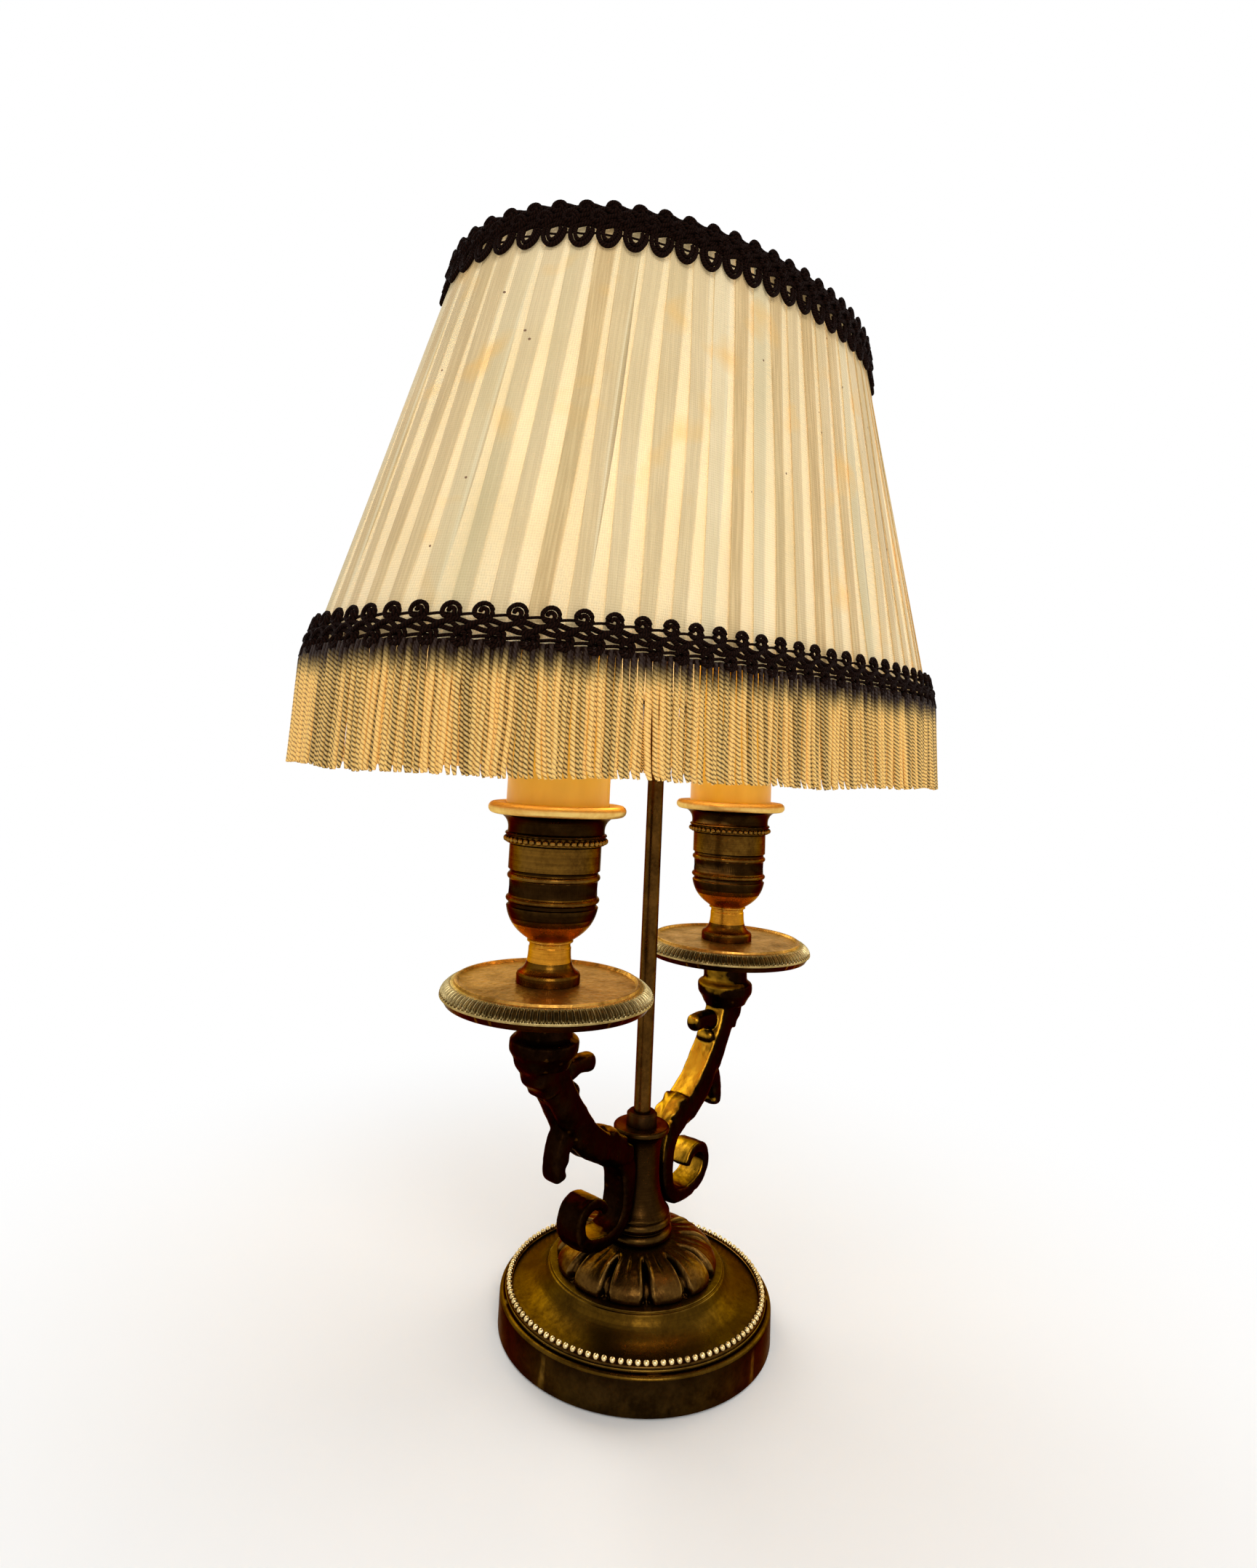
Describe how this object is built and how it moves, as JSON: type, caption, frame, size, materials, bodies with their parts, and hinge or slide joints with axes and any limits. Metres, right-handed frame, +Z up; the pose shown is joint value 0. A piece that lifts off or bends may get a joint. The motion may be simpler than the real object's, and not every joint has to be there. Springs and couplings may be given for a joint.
{
  "type": "two-light bedside lamp",
  "caption": "Two-light brass bedside lamp with scroll arms, drip pans, candle sleeves and an oval pleated shade with braid and fringe that slides on a central rod.",
  "frame": {"origin": "centre of the base on the surface the lamp stands on", "axes": "+Z up along the stem, X along the two arms with the left candle at -X, front towards -Y"},
  "size_m": [0.266, 0.1618, 0.387],
  "materials": {
    "base_brass": "aged lacquered brass, worn at the edges",
    "bead_brass": "bright worn gilt beads",
    "cast_bronze": "dark patinated gilt casting",
    "turned_brass": "aged turned brass",
    "pan_brass": "mottled aged brass",
    "rod_brass": "aged drawn brass",
    "dark_bronze": "near black patina",
    "plated_steel": "plated steel",
    "cast_iron": "rough cast",
    "felt": "green felt",
    "bush_rubber": "matte",
    "holder_plastic": "matte phenolic",
    "candle_sleeve": "waxy ivory",
    "cap_brass": "plated brass",
    "bulb_glass": "frosted glass",
    "frame_wire": "coated steel wire",
    "pleated_cloth": "pleated cream cloth",
    "braid": "dark brown gimp braid",
    "fringe_cord": "gold twisted cord fringe"
  },
  "bodies": {
    "lamp": {"base_drum": "base_brass", "base_felt": "felt", "ballast_disc": "cast_iron", "base_plate": "base_brass", "bead_ring": "bead_brass", "leaf_rosette": "cast_bronze", "stem_foot_ring": "turned_brass", "stem_column": "turned_brass", "tie_tube": "plated_steel", "tie_washer": "plated_steel", "tie_nut": "plated_steel", "cord_bush": "bush_rubber", "rod_collar": "dark_bronze", "shade_rod": "rod_brass", "arm_left": "cast_bronze", "arm_right": "cast_bronze", "drip_pan_left": "pan_brass", "drip_pan_right": "pan_brass", "candle_cup_left": "turned_brass", "candle_cup_right": "turned_brass", "nipple_left": "plated_steel", "nipple_right": "plated_steel", "cup_nuts": "plated_steel", "lampholder_left": "holder_plastic", "lampholder_right": "holder_plastic"},
    "candle_sleeve_left": {"sleeve_left": "candle_sleeve"},
    "candle_sleeve_right": {"sleeve_right": "candle_sleeve"},
    "bulb_left": {"bulb_cap_left": "cap_brass", "bulb_glass_left": "bulb_glass"},
    "bulb_right": {"bulb_cap_right": "cap_brass", "bulb_glass_right": "bulb_glass"},
    "carrier": {"shade_carrier": "turned_brass"},
    "carrier_screw": {"thumb_screw": "turned_brass"},
    "spider_nut": {"shade_nut": "turned_brass"},
    "rod_finial": {"finial": "turned_brass"},
    "shade": {"shade_spider": "turned_brass", "top_wire": "frame_wire", "bottom_wire": "frame_wire", "shade_ribs": "frame_wire", "shade_cover": "pleated_cloth", "top_braid": "braid", "bottom_braid": "braid", "fringe": "fringe_cord"}
  },
  "joints": [
    {"name": "shade_height", "type": "slide", "parent": "lamp", "child": "carrier", "axis": [0, 0, 1], "range_m": [-0.015, 0.018]},
    {"name": "shade_swivel", "type": "hinge", "parent": "carrier", "child": "shade", "pos_m": [0, 0, 0.348], "axis": [0, 0, 1], "range_deg": [-40, 58]},
    {"name": "thumb_screw_turn", "type": "hinge", "parent": "carrier", "child": "carrier_screw", "pos_m": [0, -0.01, 0.341], "axis": [0, -1, 0], "range_deg": [-360, 0]},
    {"name": "shade_nut_turn", "type": "hinge", "parent": "carrier", "child": "spider_nut", "pos_m": [0, 0, 0.351], "axis": [0, 0, 1], "range_deg": [0, 720]},
    {"name": "finial_turn", "type": "hinge", "parent": "lamp", "child": "rod_finial", "pos_m": [0, 0, 0.375], "axis": [0, 0, 1], "range_deg": [0, 1080]},
    {"name": "sleeve_left_lift", "type": "slide", "parent": "lamp", "child": "candle_sleeve_left", "axis": [0, 0, 1], "range_m": [0, 0.006]},
    {"name": "bulb_left_turn", "type": "hinge", "parent": "lamp", "child": "bulb_left", "pos_m": [-0.0535, 0, 0.225], "axis": [0, 0, 1], "range_deg": [0, 1080]},
    {"name": "sleeve_right_lift", "type": "slide", "parent": "lamp", "child": "candle_sleeve_right", "axis": [0, 0, 1], "range_m": [0, 0.006]},
    {"name": "bulb_right_turn", "type": "hinge", "parent": "lamp", "child": "bulb_right", "pos_m": [0.0535, 0, 0.225], "axis": [0, 0, 1], "range_deg": [0, 1080]}
  ]
}
